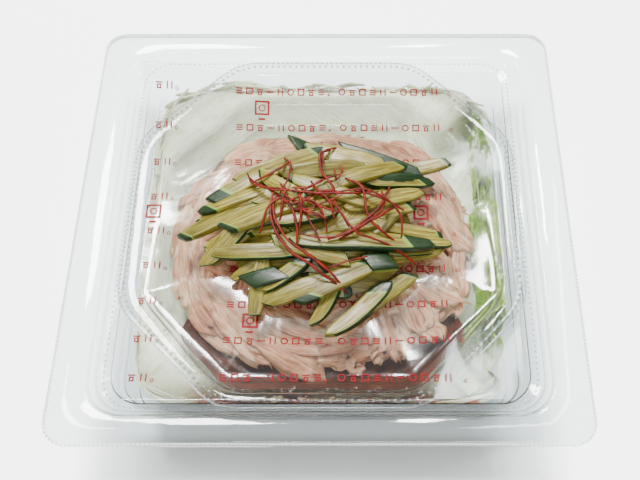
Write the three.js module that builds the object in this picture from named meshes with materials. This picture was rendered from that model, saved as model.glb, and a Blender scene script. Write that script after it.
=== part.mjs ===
// A clear salad pack: an outer base with a wide flange, an eight-sided inner tray that sits in it, salad
// below the tray, sauce and shredded chicken in it, a film laid over them, and cucumber with chili
// threads on the film. Millimetres, +Z up. The pack stands on z = 0 and its near side faces -Y.

import * as THREE from "three";

// Outer base
const flangeTop = 44;
const flangeHalf = { x: 90, y: 85 };
const flangeCorner = 8;
const lipDrop = 3;
const baseWall = 0.6;
const mouthHalf = 76.8;
const mouthCorner = 12;
const squareFrom = 69; // below this half width the well is square
const seatHalf = 70.4;
const seatTop = flangeTop - 4.4;
const baseTiers = [
  { drop: 9.6, draft: 0.9 },
  { drop: 12.4, draft: 1.0 },
  { drop: 13.4, draft: 1.2 },
];
const tierLedge = { width: 1.2, drop: 0.6 };
const footTop = baseWall;
const panelRise = 0.8;

// Inner tray
const trayTop = flangeTop - 3.2;
const trayHalf = 72.4;
const trayLeg = 37; // how much each corner of the square is cut back
const trayFillet = 20;
const trayWall = 0.5;
const trayMouthHalf = 64.4;
const trayTiers = [
  { drop: 4.6, draft: 0.5 },
  { drop: 6.5, draft: 0.9 },
  { drop: 8.2, draft: 2.3 },
];
const trayFloor = flangeTop - 26;

// Food
const sauceTop = flangeTop - 20;
const sauceFarEdge = 38;
const chickenRadius = { x: 56, y: 51 };
const chickenCentreY = -4.5;
const filmHalfX = 69.3;
const filmNear = -70.5;
const filmFar = 57.5;
const filmThickness = 0.3;
const filmCurl = 10.8; // rise of the far edge
const filmCornerCurl = 0.6; // how much more the far left corner rises
const filmWaist = 3.5; // how far the left edge is drawn in
const filmDip = 3.8; // sag over the near half of the bowl
const cucumberRadius = { x: 48, y: 34 };
const cucumberCentre = { x: -1, y: -7 };
const cucumberHeight = 14;
const chiliShare = 0.66; // of the cucumber's outline
const chiliHeight = 4;
const clearance = 0.35;

const turn = Math.PI * 2;
const { clamp, lerp, smoothstep, degToRad } = THREE.MathUtils;

// ---- Closed bodies from rings

// Joins equal rings of points in order, and closes both ends on a point.
function loft(rings, startPoint, endPoint) {
  const count = rings[0].length;
  const points = [...rings.flat(), startPoint, endPoint];
  const startIndex = points.length - 2;
  const endIndex = points.length - 1;
  const faces = [];
  for (let ring = 0; ring < rings.length - 1; ring += 1) {
    for (let side = 0; side < count; side += 1) {
      const next = (side + 1) % count;
      const a = ring * count + side;
      const b = ring * count + next;
      faces.push([a, b, b + count], [a, b + count, a + count]);
    }
  }
  const last = (rings.length - 1) * count;
  for (let side = 0; side < count; side += 1) {
    const next = (side + 1) % count;
    faces.push([startIndex, next, side], [endIndex, last + side, last + next]);
  }
  return bodyGeometry(points, faces);
}

// Turns the faces outward, whichever way the rings ran.
function bodyGeometry(points, faces) {
  let volume = 0;
  for (const [a, b, c] of faces) {
    volume += points[a].dot(new THREE.Vector3().crossVectors(points[b], points[c]));
  }
  const outward = volume > 0 ? faces : faces.map(([a, b, c]) => [a, c, b]);
  const geometry = new THREE.BufferGeometry();
  geometry.setFromPoints(points);
  geometry.setIndex(outward.flat());
  geometry.computeVertexNormals();
  return geometry;
}

function middle(points) {
  const sum = new THREE.Vector3();
  for (const point of points) {
    sum.add(point);
  }
  return sum.divideScalar(points.length);
}

// ---- Outlines

// A ring round a convex polygon whose corners are rounded.
function filletedRing(corners, radius, segments, z) {
  const ring = [];
  corners.forEach((corner, index) => {
    const before = corners[(index + corners.length - 1) % corners.length].clone().sub(corner).normalize();
    const after = corners[(index + 1) % corners.length].clone().sub(corner).normalize();
    const halfAngle = Math.acos(clamp(before.dot(after), -1, 1)) / 2;
    const inward = before.clone().add(after).normalize();
    const centre = corner.clone().addScaledVector(inward, radius / Math.sin(halfAngle));
    const start = corner.clone().addScaledVector(before, radius / Math.tan(halfAngle)).sub(centre);
    for (let step = 0; step <= segments; step += 1) {
      const angle = ((Math.PI - 2 * halfAngle) * step) / segments;
      const point = start.clone().rotateAround(new THREE.Vector2(), angle).add(centre);
      ring.push(new THREE.Vector3(point.x, point.y, z));
    }
  });
  return ring;
}

function rectangleRing(halfX, halfY, corner, z) {
  const corners = [
    new THREE.Vector2(halfX, -halfY),
    new THREE.Vector2(halfX, halfY),
    new THREE.Vector2(-halfX, halfY),
    new THREE.Vector2(-halfX, -halfY),
  ];
  return filletedRing(corners, corner, 6, z);
}

function octagonLeg(half) {
  return trayLeg - (2 - Math.SQRT2) * (trayHalf - half);
}

function octagonRing(half, z) {
  const flat = half - octagonLeg(half);
  const corners = [];
  for (let quarter = 0; quarter < 4; quarter += 1) {
    for (const y of [-flat, flat]) {
      const corner = new THREE.Vector2(half, y);
      corners.push(corner.rotateAround(new THREE.Vector2(), (turn * quarter) / 4));
    }
  }
  return filletedRing(corners, trayFillet - 0.6 * (trayHalf - half), 4, z);
}

// The base is wider than it is deep at the flange, and square low in the well.
function baseHalfY(halfX) {
  const share = clamp((halfX - squareFrom) / (flangeHalf.x - squareFrom), 0, 1);
  return halfX - share * (flangeHalf.x - flangeHalf.y);
}

function baseRing(halfX, z) {
  const onFlange = halfX > mouthHalf + 2;
  const corner = onFlange ? flangeCorner : mouthCorner - 0.25 * (mouthHalf - halfX);
  return rectangleRing(halfX, baseHalfY(halfX), corner, z);
}

// ---- Thin formed shells

// Adds the stepped wall of a well: each tier drops with a little draft and ends on a narrow ledge.
function addTiers(profile, tiers) {
  let [half, z] = profile.at(-1);
  tiers.forEach((tier, index) => {
    half -= tier.draft;
    z -= tier.drop;
    profile.push([half, z]);
    if (index < tiers.length - 1) {
      half -= tierLedge.width;
      z -= tierLedge.drop;
      profile.push([half, z]);
    }
  });
}

// The same profile moved to its other face, one wall away.
function otherFace(profile, wall) {
  const normals = profile.slice(1).map(([half, z], index) => {
    const along = new THREE.Vector2(half - profile[index][0], z - profile[index][1]).normalize();
    return new THREE.Vector2(-along.y, along.x);
  });
  return profile.map(([half, z], index) => {
    const first = normals[Math.max(index - 1, 0)];
    const second = normals[Math.min(index, normals.length - 1)];
    const mitre = first.clone().add(second).normalize();
    const reach = wall / mitre.dot(first);
    return [half + mitre.x * reach, z + mitre.y * reach];
  });
}

// A shell from the middle of its floor, up and out to the lip, and back under.
function shell(profile, wall, ringAt) {
  const upper = profile.map(([half, z]) => ringAt(half, z));
  const lower = otherFace(profile, wall).map(([half, z]) => ringAt(half, z));
  const floorZ = profile.at(-1)[1];
  const rings = [...upper.reverse(), ...lower];
  return loft(rings, new THREE.Vector3(0, 0, floorZ), new THREE.Vector3(0, 0, floorZ - wall));
}

function baseContainer() {
  const profile = [
    [flangeHalf.x, flangeTop - lipDrop],
    [flangeHalf.x - 0.2, flangeTop - 0.8],
    [flangeHalf.x - 1, flangeTop],
    [mouthHalf + 0.9, flangeTop],
    [mouthHalf, flangeTop - 0.9],
    [mouthHalf - 0.6, flangeTop - 2.4],
    [mouthHalf - 2, flangeTop - 2.8],
    [mouthHalf - 2.6, seatTop + 0.2],
    [seatHalf, seatTop],
  ];
  addTiers(profile, baseTiers);
  const [half] = profile.at(-1);
  profile.push([half - 1.9, footTop]);
  profile.push([half - 7.5, footTop]);
  profile.push([half - 8.5, footTop + panelRise]);
  return shell(profile, baseWall, baseRing);
}

function trayProfile() {
  const profile = [
    [trayHalf, trayTop - 0.9],
    [trayHalf - 0.1, trayTop - 0.3],
    [trayHalf - 0.6, trayTop],
    [trayMouthHalf, trayTop],
    [trayMouthHalf - 0.8, trayTop - 0.8],
  ];
  addTiers(profile, trayTiers);
  const [half] = profile.at(-1);
  profile.push([half - 1.8, trayFloor]);
  return profile;
}

// Half width of the bowl's inner face at a height.
function bowlHalf(z) {
  const profile = trayProfile();
  const upper = profile.findLastIndex((point) => point[1] >= z);
  const [topHalf, topZ] = profile[upper];
  const [lowHalf, lowZ] = profile[Math.min(upper + 1, profile.length - 1)];
  return topZ === lowZ ? lowHalf : lerp(lowHalf, topHalf, (z - lowZ) / (topZ - lowZ));
}

// ---- The film

// How far a point is inside an octagon of the tray's family.
function insideOctagon(x, y, half) {
  const across = Math.abs(x) + Math.abs(y) - (2 * half - octagonLeg(half));
  return -Math.max(Math.abs(x) - half, Math.abs(y) - half, across / Math.SQRT2);
}

// The middle of the film: it rests on the tray's flange, sags over the near half of the bowl, lies on
// the chicken and curls up towards its far edge, most of all at the left.
function filmZ(x, y) {
  const rest = trayTop + clearance + filmThickness / 2;
  const sag = filmDip * smoothstep(insideOctagon(x, y, trayMouthHalf), 4, 26) * smoothstep(-y, -15, 25);
  const corner = 1 + filmCornerCurl * smoothstep(-x, 15, 70);
  const curl = filmCurl * (Math.max(y, 0) / filmFar) ** 2 * corner;
  const ripple = 0.25 * (1 + Math.sin(x / 9 + y / 23)) * (1 + Math.sin(y / 11 - x / 31)) / 2;
  return rest - sag + curl + ripple;
}

function filmSheet() {
  const across = 22;
  const along = 20;
  const sections = [];
  for (let row = 0; row <= along; row += 1) {
    const y = lerp(filmNear, filmFar, row / along);
    const left = filmWaist * Math.sin((Math.PI * row) / along) - filmHalfX;
    const section = [];
    for (let column = 0; column <= across; column += 1) {
      const x = lerp(left, filmHalfX, column / across);
      section.push(new THREE.Vector3(x, y, filmZ(x, y) + filmThickness / 2));
    }
    const under = section.map((point) => point.clone().setZ(point.z - filmThickness)).reverse();
    sections.push([...section, ...under]);
  }
  return sheetGeometry(sections);
}

// A thin sheet from its strips: each strip runs out along the top and back underneath.
function sheetGeometry(sections) {
  const count = sections[0].length;
  const points = sections.flat();
  const faces = [];
  for (let row = 0; row < sections.length - 1; row += 1) {
    for (let side = 0; side < count; side += 1) {
      const a = row * count + side;
      const b = row * count + ((side + 1) % count);
      faces.push([a, b, b + count], [a, b + count, a + count]);
    }
  }
  const last = (sections.length - 1) * count;
  for (let side = 0; side < count / 2 - 1; side += 1) {
    const back = count - 1 - side;
    faces.push([side, back, back - 1], [side, back - 1, side + 1]);
    faces.push([last + side, last + back - 1, last + back]);
    faces.push([last + side, last + side + 1, last + back - 1]);
  }
  return bodyGeometry(points, faces);
}

// ---- Heaps

// A heap from an underside, a rim and a crown, each a height over the plan.
function heap({ outline, shares, under, crown, angles }) {
  const plan = (share, index) => outline((turn * index) / angles, share);
  const ringAt = (share, height) =>
    Array.from({ length: angles }, (unused, index) => {
      const { x, y } = plan(share, index);
      return new THREE.Vector3(x, y, height(x, y, share));
    });
  const lower = shares.map((share) => ringAt(share, under));
  const upper = shares.map((share) => ringAt(share, crown)).reverse();
  const centre = plan(0, 0);
  const lowest = new THREE.Vector3(centre.x, centre.y, under(centre.x, centre.y, 0));
  const highest = new THREE.Vector3(centre.x, centre.y, crown(centre.x, centre.y, 0));
  return loft([...lower, ...upper], lowest, highest);
}

function sauceLayer() {
  const cutFarEdge = (ring) =>
    ring.map((point) => {
      const edge = sauceFarEdge + 2.5 * Math.cos(point.x / 14);
      return point.clone().setY(Math.min(point.y, edge));
    });
  const low = trayFloor + clearance;
  const knee = trayFloor + 1.5;
  const rings = [
    octagonRing(bowlHalf(low) - clearance, low),
    octagonRing(bowlHalf(knee) - clearance, knee),
    octagonRing(bowlHalf(sauceTop) - clearance, sauceTop - 0.3),
    octagonRing(bowlHalf(sauceTop) - clearance - 0.8, sauceTop),
  ].map(cutFarEdge);
  return loft(rings, new THREE.Vector3(0, 0, low), new THREE.Vector3(0, 0, sauceTop));
}

function chickenHeap() {
  const outline = (angle, share) => {
    const squarish = (value) => Math.sign(value) * Math.abs(value) ** 0.88;
    const lumps = 1 + 0.02 * Math.sin(5 * angle + 1) + 0.018 * Math.sin(9 * angle);
    return {
      x: chickenRadius.x * share * lumps * squarish(Math.cos(angle)),
      y: chickenCentreY + chickenRadius.y * share * lumps * squarish(Math.sin(angle)),
    };
  };
  const floor = sauceTop + clearance;
  const crown = (x, y, share) => {
    const ceiling = Math.min(filmZ(x, y) - filmThickness - 0.6, flangeTop - 5 + 0.09 * y);
    const swell = (1 - share ** 3) ** 0.7;
    const uneven = 1.1 * (1 + Math.sin(x / 4.3 + y / 9) * Math.cos(y / 5.1 - x / 13)) / 2;
    return lerp(floor + 3.4, ceiling, swell) - uneven * (0.4 + 0.6 * swell);
  };
  return heap({ outline, shares: [0.2, 0.4, 0.58, 0.74, 0.87, 0.96, 1], under: () => floor, crown, angles: 44 });
}

// Sticks of cucumber fanned across the film, so the outline runs out into points.
function cucumberOutline(angle, share) {
  const points = 1 + 0.09 * Math.sin(7 * angle + 0.6) + 0.05 * Math.sin(12 * angle);
  return {
    x: cucumberCentre.x + cucumberRadius.x * share * points * Math.cos(angle),
    y: cucumberCentre.y + cucumberRadius.y * share * points * Math.sin(angle),
  };
}

function cucumberUnder(x, y) {
  return filmZ(x, y) + filmThickness / 2 + 0.6;
}

function cucumberCrown(x, y, share) {
  const swell = (1 - share ** 2) ** 0.9;
  const uneven = 1.2 * Math.sin(x / 5.5 + 0.5) * Math.cos(y / 4.5 + x / 17);
  return cucumberUnder(x, y) + lerp(3.6, cucumberHeight, swell) + uneven * (0.3 + 0.7 * swell);
}

const cucumberShares = [0.22, 0.44, chiliShare, 0.82, 0.93, 1];
const cucumberAngles = 44;

function cucumberHeap() {
  return heap({
    outline: cucumberOutline,
    shares: cucumberShares,
    under: cucumberUnder,
    crown: cucumberCrown,
    angles: cucumberAngles,
  });
}

function chiliNest() {
  const under = (x, y, share) => cucumberCrown(x, y, share) + clearance;
  const crown = (x, y, share) => under(x, y, share) + lerp(chiliHeight, 1.2, (share / chiliShare) ** 2);
  const shares = cucumberShares.filter((share) => share <= chiliShare);
  return heap({ outline: cucumberOutline, shares, under, crown, angles: cucumberAngles });
}

// ---- Salad between the tray and the base

// Distance from the axis to an outline, found by halving.
function reach(inside, angle) {
  let near = 0;
  let far = 120;
  for (let step = 0; step < 24; step += 1) {
    const half = (near + far) / 2;
    if (inside(half * Math.cos(angle), half * Math.sin(angle))) {
      near = half;
    } else {
      far = half;
    }
  }
  return near;
}

function onPlan(radius, angle, z) {
  return new THREE.Vector3(radius * Math.cos(angle), radius * Math.sin(angle), z);
}

// Just inside the base's wall, which leans out as it rises.
function byBaseWall(inset, angle, z) {
  const corner = 9;
  const half = saladHalf + saladLean * z - inset;
  const inside = (x, y) => {
    const cornerX = Math.max(Math.abs(x) - (half - corner), 0);
    const cornerY = Math.max(Math.abs(y) - (half - corner), 0);
    return Math.hypot(cornerX, cornerY) < corner;
  };
  return onPlan(reach(inside, angle), angle, z);
}

// Just outside the tray's bowl.
function byBowl(gap, angle, z) {
  const half = bowlHalf(Math.max(z, trayFloor)) + trayWall + gap;
  return onPlan(reach((x, y) => insideOctagon(x, y, half) > 0, angle), angle, z);
}

const saladHalf = 63.7; // half width of the salad at the foot of the base
const saladLean = 0.105;
const underBowl = trayFloor - trayWall - 0.8;
const lettuceSpan = { from: degToRad(-52), to: degToRad(44), top: flangeTop - 8 };
const carrotSpan = { from: degToRad(-124), to: degToRad(-56), top: flangeTop - 15 };
const bedTop = flangeTop - 12;
const bedLowTop = underBowl - 0.4;

function inSpan(angle, span) {
  const signed = angle > Math.PI ? angle - turn : angle;
  return signed > span.from - 0.09 && signed < span.to + 0.09;
}

function cabbageBed() {
  const angles = 60;
  const crest = (angle) => {
    if (inSpan(angle, lettuceSpan) || inSpan(angle, carrotSpan)) {
      return bedLowTop;
    }
    return bedTop + 0.9 * Math.sin(8 * angle) + 0.6 * Math.sin(13 * angle + 2);
  };
  const ring = (place) => Array.from({ length: angles }, (unused, index) => place((turn * index) / angles));
  const low = footTop + panelRise + clearance;
  const foot = (angle) => byBaseWall(3, angle, low);
  const heel = (angle) => byBaseWall(0, angle, low + 3);
  const rim = (angle) => byBaseWall(0, angle, crest(angle) - 1.5);
  const crown = (angle) => byBaseWall(2.5, angle, crest(angle));
  const byTray = (angle) => byBowl(1.6, angle, crest(angle) + 0.1);
  const pocket = (angle) => byBowl(1.4, angle, underBowl - 0.2);
  const rings = [foot, heel, rim, crown, byTray, pocket].map(ring);
  return loft(rings, onPlan(0, 0, low), onPlan(0, 0, underBowl - 0.2));
}

// A stretch of salad that stands between the bowl and the base, with an uneven top.
function saladStretch({ from, to, top }, steps, waves) {
  const sections = [];
  for (let step = 0; step <= steps; step += 1) {
    const angle = lerp(from, to, step / steps);
    const low = bedLowTop + 1.2;
    const edge = smoothstep(Math.min(step, steps - step), 0, 2);
    const high = lerp(low + 4, top, edge) + waves * Math.sin(11 * angle) * edge;
    sections.push([
      byBowl(1.4, angle, low),
      byBaseWall(0.2, angle, low),
      byBaseWall(0.2, angle, lerp(low, high, 0.5)),
      byBaseWall(0.2, angle, high - 0.8),
      byBaseWall(2, angle, high),
      byBowl(1.6, angle, high),
    ]);
  }
  return loft(sections, middle(sections[0]), middle(sections.at(-1)));
}

// ---- The pack

const clearPlastic = { color: "#e9f0f1", roughness: 0.12, metalness: 0 };
const parts = [
  { name: "base_container", geometry: baseContainer(), look: clearPlastic },
  { name: "inner_tray", geometry: shell(trayProfile(), trayWall, octagonRing), look: clearPlastic },
  { name: "cabbage_bed", geometry: cabbageBed(), look: { color: "#d9d8c4", roughness: 0.5 } },
  { name: "lettuce", geometry: saladStretch(lettuceSpan, 20, 1.2), look: { color: "#a9bd74", roughness: 0.5 } },
  { name: "carrot_shreds", geometry: saladStretch(carrotSpan, 14, 0.8), look: { color: "#c9683a", roughness: 0.5 } },
  { name: "sauce_layer", geometry: sauceLayer(), look: { color: "#5e3a2c", roughness: 0.25 } },
  { name: "chicken", geometry: chickenHeap(), look: { color: "#dcc0ae", roughness: 0.55 } },
  { name: "film_sheet", geometry: filmSheet(), look: { color: "#f2f4f4", roughness: 0.1 } },
  { name: "cucumber_sticks", geometry: cucumberHeap(), look: { color: "#b9bd78", roughness: 0.4 } },
  { name: "chili_threads", geometry: chiliNest(), look: { color: "#a8261c", roughness: 0.5 } },
];

const group = new THREE.Group();
for (const { name, geometry, look } of parts) {
  const mesh = new THREE.Mesh(geometry, new THREE.MeshStandardMaterial(look));
  mesh.name = name;
  group.add(mesh);
}

export default group;
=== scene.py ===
import math
import random

import bmesh
import bpy
from mathutils import Matrix, Vector, noise


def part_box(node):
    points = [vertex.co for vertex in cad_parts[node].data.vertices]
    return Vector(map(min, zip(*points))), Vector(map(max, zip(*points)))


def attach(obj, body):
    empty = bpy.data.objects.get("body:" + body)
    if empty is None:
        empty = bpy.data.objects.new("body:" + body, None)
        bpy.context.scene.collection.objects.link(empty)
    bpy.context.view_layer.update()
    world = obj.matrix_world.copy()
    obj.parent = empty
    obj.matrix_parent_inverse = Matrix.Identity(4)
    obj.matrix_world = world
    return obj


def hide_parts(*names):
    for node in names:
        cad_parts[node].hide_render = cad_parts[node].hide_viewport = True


# A clear takeaway box with a salad in its base and an octagonal tray let into it.
# The tray holds shredded chicken in brown sauce under a printed clear film, with
# cucumber sticks and chilli threads lying on the film.
# Shapes are worked out in millimetres and turned into metres when a piece is made.

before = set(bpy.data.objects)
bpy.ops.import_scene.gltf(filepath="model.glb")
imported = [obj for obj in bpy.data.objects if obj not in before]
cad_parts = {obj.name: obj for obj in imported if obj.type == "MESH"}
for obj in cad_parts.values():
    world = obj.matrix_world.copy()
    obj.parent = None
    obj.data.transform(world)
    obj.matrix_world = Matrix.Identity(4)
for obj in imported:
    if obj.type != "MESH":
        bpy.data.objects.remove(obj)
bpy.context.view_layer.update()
mm = 0.001
print("frame loaded")


# measures that several pieces share, in millimetres
boxSize = {
    "wall": 0.5,
    "saladHalf": 64.2,      # half width of the salad at the foot
    "saladLean": 0.088,     # how much it widens for each millimetre of height
}
traySize = {
    "wall": 0.45,
    "mouthHalf": 64.4,
    "sauceTop": 24.0,
    "nearLean": (2.2, -3.0),    # how far the near wall moves in at the sauce and out at the mouth
}
filmSize = {
    "left": -69.3, "right": 69.3, "near": -70.5, "far": 57.5, "thick": 0.1,
    "height": 41.3,     # where it lies on the tray's rim
    "sag": 3.8,         # how deep the cucumber presses it down
    "curl": 10.8,       # how far its far end rises
}
heapSize = {"x": -1.0, "y": -7.0, "radiusX": 48.0, "radiusY": 34.0, "height": 14.0}     # cucumber
chickenSize = {"y": -4.5, "radiusX": 56.0, "radiusY": 51.0, "floor": 24.0, "core": 0.95, "square": 0.88}


def drawEach(draw, spans):
    return [draw.uniform(*span) for span in spans]


def smoothStep(value, low, high):
    share = min(max((value - low) / (high - low), 0.0), 1.0)
    return share * share * (3 - 2 * share)


def mix(a, b, share):
    return a + (b - a) * share


def polar(angle, reach, height):
    return Vector((reach * math.cos(angle), reach * math.sin(angle), height))


def wander(*spot):
    # smooth noise, about -1 to 1
    return noise.noise(Vector(spot))


def soft(weight, *radius):
    # the values of a material that lets light through
    return {"Subsurface Weight": weight, "Subsurface Radius": radius, "Subsurface Scale": 1.0}


def trayLeg(half):
    return 37 - (2 - math.sqrt(2)) * (72.4 - half)


def nearSlope(point, height):
    # the tray's near wall leans out more than the others: wider at the mouth, narrower at the sauce
    share = smoothStep(-point.y, 28, 56)
    lean = mix(*traySize["nearLean"], smoothStep(height, 22, 41))
    return Vector((point.x, point.y + lean * share, height))


def insideOctagon(x, y, half):
    slant = (abs(x) + abs(y) - (2 * half - trayLeg(half))) / math.sqrt(2)
    return -max(abs(x) - half, abs(y) - half, slant)


def filmHeight(x, y):
    # flat over the tray, pressed down by the cucumber at the near side, curling up at the far side
    inward = min(max((insideOctagon(x, y, traySize["mouthHalf"]) - 3.5) / 24, 0), 1)
    sag = filmSize["sag"] * (1 - (1 - inward) ** 2) * smoothStep(-y, -15, 25)
    curl = filmSize["curl"] * (max(y, 0) / filmSize["far"]) ** 2 * (1 + 0.6 * smoothStep(-x, 15, 70))
    ripple = 0.125 * (1 + math.sin(x / 9 + y / 23)) * (1 + math.sin(y / 11 - x / 31))
    return filmSize["height"] - sag + curl + ripple


def chickenShare(x, y):
    across = abs(x) / chickenSize["radiusX"]
    along = abs(y - chickenSize["y"]) / chickenSize["radiusY"]
    power = 2 / chickenSize["square"]
    return (across ** power + along ** power) ** (1 / power)


def chickenTop(x, y):
    share = min(chickenShare(x, y), 1.0)
    ceiling = min(filmHeight(x, y) - 0.9, 39 + 0.09 * y)
    return mix(chickenSize["floor"] + 3.4, ceiling, (1 - share ** 3) ** 0.7)


def heapShare(x, y):
    across = (x - heapSize["x"]) / heapSize["radiusX"]
    along = (y - heapSize["y"]) / heapSize["radiusY"]
    return math.hypot(across, along)


def heapTop(x, y):
    share = heapShare(x, y)
    if share >= 1:
        return filmHeight(x, y) + 0.7
    return filmHeight(x, y) + 0.7 + heapSize["height"] * (1 - share ** 2) ** 0.8


def makePiece(name, bm, materials, replaced=(), smooth=True):
    bmesh.ops.scale(bm, vec=(mm, mm, mm), verts=bm.verts)
    mesh = bpy.data.meshes.new(name)
    bm.to_mesh(mesh)
    bm.free()
    for material in materials:
        mesh.materials.append(material)
    if smooth:
        mesh.shade_smooth()
    piece = bpy.data.objects.new(name, mesh)
    bpy.context.scene.collection.objects.link(piece)
    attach(piece, "root")
    if replaced:
        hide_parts(*replaced)
    triangles = sum(len(face.vertices) - 2 for face in mesh.polygons)
    print(name, triangles, "triangles")
    return piece


def roundCorners(corners, radius, arcSteps, sideSteps):
    # the outline of a straight-sided shape with round corners, as points in order
    arcs = []
    for index, corner in enumerate(corners):
        back = (corners[index - 1] - corner).normalized()
        ahead = (corners[(index + 1) % len(corners)] - corner).normalized()
        half = back.angle(ahead) / 2
        middle = corner + (back + ahead).normalized() * radius / math.sin(half)
        start = corner + back * radius / math.tan(half) - middle
        finish = corner + ahead * radius / math.tan(half) - middle
        turn = math.atan2(start.x * finish.y - start.y * finish.x, start.dot(finish))
        first = math.atan2(start.y, start.x)
        arc = []
        for step in range(arcSteps + 1):
            angle = first + turn * step / arcSteps
            arc.append(middle + Vector((math.cos(angle), math.sin(angle))) * radius)
        arcs.append(arc)
    points = []
    for index, arc in enumerate(arcs):
        points += arc
        following = arcs[(index + 1) % len(arcs)][0]
        for step in range(1, sideSteps):
            points.append(arc[-1].lerp(following, step / sideSteps))
    return points


def boxOutline(half, detail=(9, 22)):
    depth = half - 5 * min(max((half - 69) / 21, 0), 1)
    radius = 8 if half > 78.8 else 12 - 0.25 * (76.8 - half)
    corners = [Vector((half, -depth)), Vector((half, depth)), Vector((-half, depth)), Vector((-half, -depth))]
    return roundCorners(corners, radius, *detail)


def trayOutline(half, detail=(5, 11)):
    leg = trayLeg(half)
    short = half - leg
    corners = []
    for x, y in ((half, -short), (half, short), (short, half), (-short, half)):
        corners.append(Vector((x, y)))
    corners += [-corner for corner in corners]
    radius = 20 - 0.6 * (72.4 - half)
    return roundCorners(corners, radius, *detail)


def softenProfile(profile, cut):
    # each fold of the profile becomes two points, so that it catches the light as a narrow round
    soft = [profile[0]]
    for before, fold, after in zip(profile, profile[1:], profile[2:]):
        for neighbour in (before, after):
            length = math.dist(fold, neighbour)
            share = min(cut, length * 0.35) / length
            soft.append((mix(fold[0], neighbour[0], share), mix(fold[1], neighbour[1], share)))
    soft.append(profile[-1])
    return soft


def loftRings(bm, rings):
    # a tube drawn through rings of equally many points; gives back the first and last ring's edges
    made = bmesh.ops.create_circle(bm, cap_ends=False, segments=len(rings[0]), radius=1)
    ring = {vert: index for index, vert in enumerate(made["verts"])}
    firstEdges = list({edge for vert in ring for edge in vert.link_edges})
    for vert, index in ring.items():
        vert.co = rings[0][index]
    edges = firstEdges
    for places in rings[1:]:
        drawn = bmesh.ops.extrude_edge_only(bm, edges=edges)["geom"]
        edges = [item for item in drawn if isinstance(item, bmesh.types.BMEdge)]
        following = {}
        for vert in drawn:
            if isinstance(vert, bmesh.types.BMVert):
                for edge in vert.link_edges:
                    other = edge.other_vert(vert)
                    if other in ring:
                        following[vert] = ring[other]
        ring = following
        for vert, index in ring.items():
            vert.co = places[index]
    return firstEdges, edges


scratch = bpy.data.meshes.new("scratch")


def capRings(bm, first, last):
    # closes both ends of a lofted tube
    bmesh.ops.contextual_create(bm, geom=first)
    bmesh.ops.contextual_create(bm, geom=last)
    bmesh.ops.recalc_face_normals(bm, faces=bm.faces)


def joinPart(bm, part):
    # adds one finished part to the piece
    part.to_mesh(scratch)
    part.free()
    bm.from_mesh(scratch)


def addLayers(part, *names):
    # a map along the grain, and numbers that the materials read
    grain = part.loops.layers.uv.new("grain")
    return grain, [part.verts.layers.float.new(name) for name in names]


def mapGrain(part, spot):
    grain = part.loops.layers.uv["grain"]
    for face in part.faces:
        for loop in face.loops:
            loop[grain].uv = spot(loop)


def addBlob(bm, segments, place, spot, tone):
    # a heap's core: a ball whose points are placed by share of the radius, angle, and top or underside
    part = bmesh.new()
    bmesh.ops.create_uvsphere(part, u_segments=segments[0], v_segments=segments[1], radius=1)
    addLayers(part, "tone", "skin")
    toneLayer = part.verts.layers.float["tone"]
    for vert in part.verts:
        share = min(math.hypot(vert.co.x, vert.co.y), 1.0)
        vert.co = place(share, math.atan2(vert.co.y, vert.co.x), vert.co.z >= 0)
        vert[toneLayer] = tone
    mapGrain(part, spot)
    joinPart(bm, part)


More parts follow.
